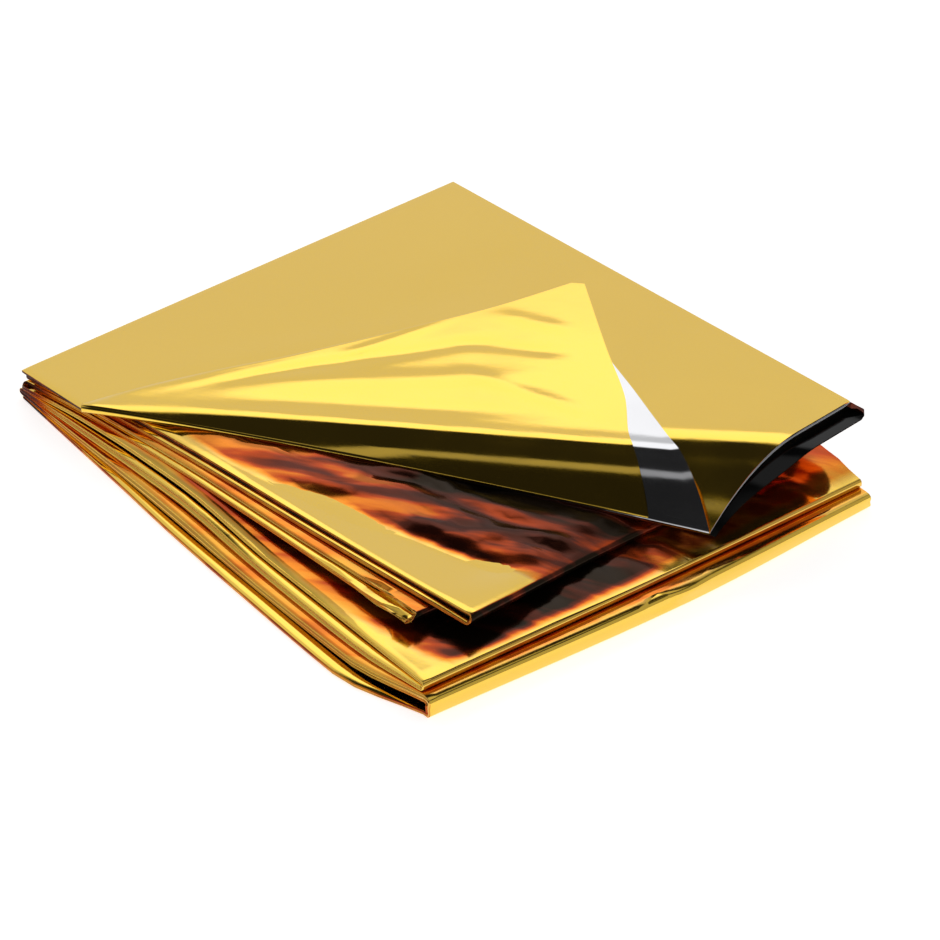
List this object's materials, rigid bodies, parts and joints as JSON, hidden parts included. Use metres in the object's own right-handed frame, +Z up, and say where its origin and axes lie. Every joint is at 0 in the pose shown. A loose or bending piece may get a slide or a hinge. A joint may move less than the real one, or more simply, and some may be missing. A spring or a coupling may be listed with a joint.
{
  "type": "emergency foil blanket",
  "caption": "Folded emergency foil blanket: a gold and silver film sheet laid back and forth in a flat packet, with one front corner turned back over the top.",
  "frame": {"origin": "bottom centre of the packet's box, on the face that it rests on", "axes": "+X from the spine to the fore-edge, +Y from the front side to the back side, +Z up"},
  "size_m": [0.251, 0.2106, 0.0395],
  "materials": {
    "gold_film": "metallised polyester film, mirror gold outside",
    "silver_film": "metallised polyester film, mirror silver inside"
  },
  "bodies": {
    "root": {"foil_blanket": "gold_film"}
  },
  "joints": []
}
